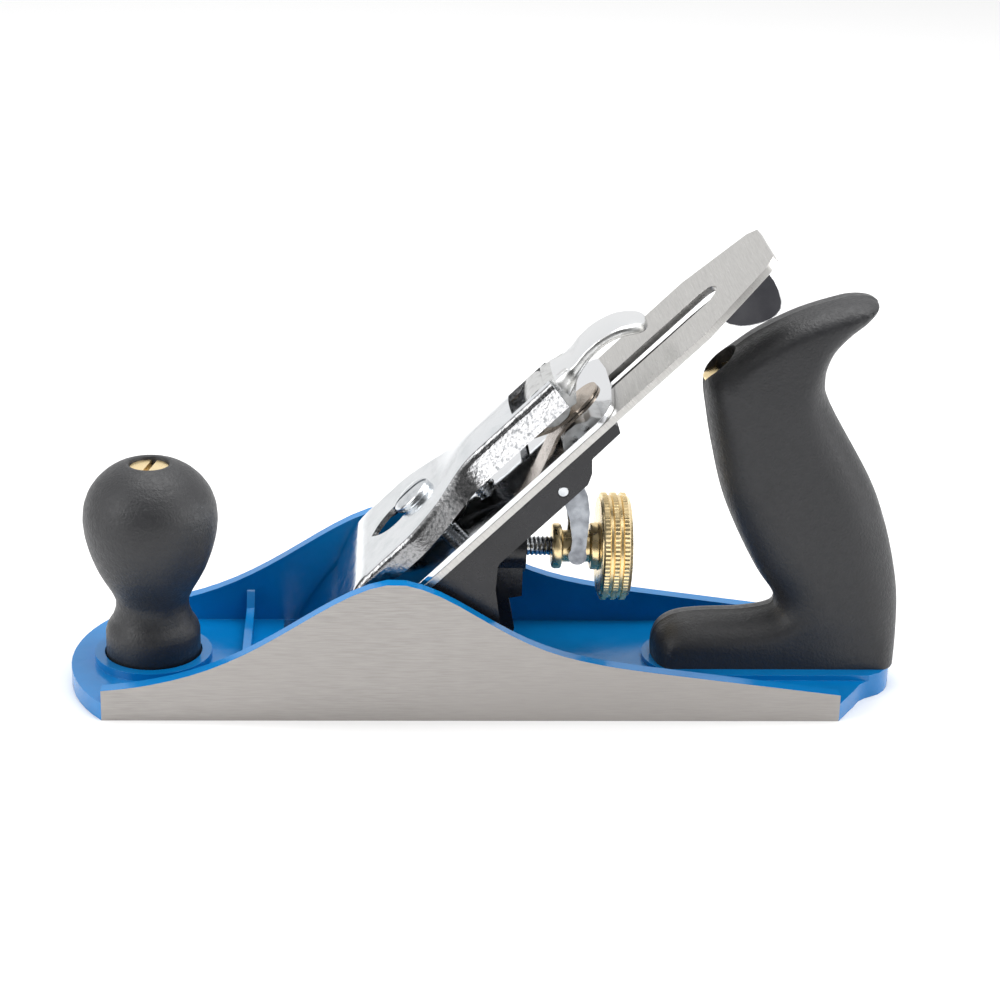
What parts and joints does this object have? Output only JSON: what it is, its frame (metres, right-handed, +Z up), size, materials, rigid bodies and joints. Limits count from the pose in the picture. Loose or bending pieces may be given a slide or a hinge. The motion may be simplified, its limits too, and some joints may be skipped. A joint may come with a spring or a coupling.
{
  "type": "smoothing plane",
  "caption": "Metal bench plane with a 45 degree bed: blue cast body with ground sides, adjustable frog, bevel-down iron under a cam-locked lever cap, brass depth wheel, black knob and tote.",
  "frame": {"origin": "centre of the bounding box on the ground plane, under the sole", "axes": "+X from toe to heel, +Y across to the plane's left side seen from behind, +Z up from the sole"},
  "size_m": [0.245, 0.062, 0.1344],
  "materials": {
    "painted_casting": "gloss blue enamel, sole and sides ground bright",
    "frog_paint": "satin dark grey enamel",
    "plated_steel": "zinc plated",
    "brass": "turned brass, knurled rings",
    "bright_chrome": "bright chrome",
    "ground_steel": "fine ground grain",
    "zinc_plate": "zinc plated pressed steel",
    "spring_steel": "spring steel leaf",
    "cast_zinc": "tumbled zinc casting",
    "black_plastic": "fine textured moulding"
  },
  "bodies": {
    "casting": {"body": "painted_casting", "knob": "black_plastic", "knob_stud": "plated_steel", "knob_nut": "brass", "tote": "black_plastic", "tote_stud": "plated_steel", "tote_nut": "brass", "frog_screws": "plated_steel", "frog_washers": "plated_steel"},
    "frog": {"frog": "frog_paint", "wheel_stud": "plated_steel", "yoke_pin": "plated_steel", "lateral_pivot": "plated_steel", "lever_cap_screw": "plated_steel"},
    "wheel": {"depth_wheel": "brass"},
    "yoke": {"yoke": "plated_steel"},
    "lateral": {"lateral_lever": "bright_chrome", "lateral_roller": "plated_steel"},
    "iron_carrier": {"cap_iron_screw": "plated_steel"},
    "iron": {"cutting_iron": "ground_steel", "cap_iron": "bright_chrome"},
    "cap": {"lever_cap": "zinc_plate", "cap_spring": "spring_steel", "spring_rivet": "plated_steel", "cam_pin": "plated_steel"},
    "cam": {"cam_lever": "cast_zinc"}
  },
  "joints": [
    {"name": "frog_slide", "type": "slide", "parent": "casting", "child": "frog", "axis": [1, 0, 0], "range_m": [-0.0008, 0.0008]},
    {"name": "wheel_spin", "type": "hinge", "parent": "frog", "child": "wheel", "pos_m": [0.036, 0, 0.0418], "axis": [1, 0, 0], "range_deg": [-361, 361]},
    {"name": "yoke_pivot", "type": "hinge", "parent": "frog", "child": "yoke", "pos_m": [0.01867, 0, 0.06824], "axis": [0, 1, 0], "range_deg": [-2.54, 2.54]},
    {"name": "iron_slide", "type": "slide", "parent": "frog", "child": "iron_carrier", "axis": [0.7071, 0, 0.7071], "range_m": [-0.0004, 0.0004]},
    {"name": "lateral_swing", "type": "hinge", "parent": "frog", "child": "lateral", "pos_m": [0.02694, 0, 0.08344], "axis": [-0.7071, 0, 0.7071], "range_deg": [-5, 5]},
    {"name": "iron_skew", "type": "hinge", "parent": "iron_carrier", "child": "iron", "pos_m": [0.00078, 0, 0.05728], "axis": [-0.7071, 0, 0.7071], "range_deg": [-1.05, 1.05]},
    {"name": "lever_cap_slide", "type": "slide", "parent": "frog", "child": "cap", "axis": [0.7071, 0, 0.7071], "range_m": [0, 0.0103]},
    {"name": "cam_flip", "type": "hinge", "parent": "cap", "child": "cam", "pos_m": [0.01513, 0, 0.08747], "axis": [0, -1, 0], "range_deg": [0, 95]}
  ],
  "couplings": [
    {"joint": "yoke_pivot", "follows": "iron_slide", "rad_per_m": 108.7},
    {"joint": "wheel_spin", "follows": "iron_slide", "rad_per_m": 15708},
    {"joint": "iron_skew", "follows": "lateral_swing", "ratio": -0.209}
  ]
}
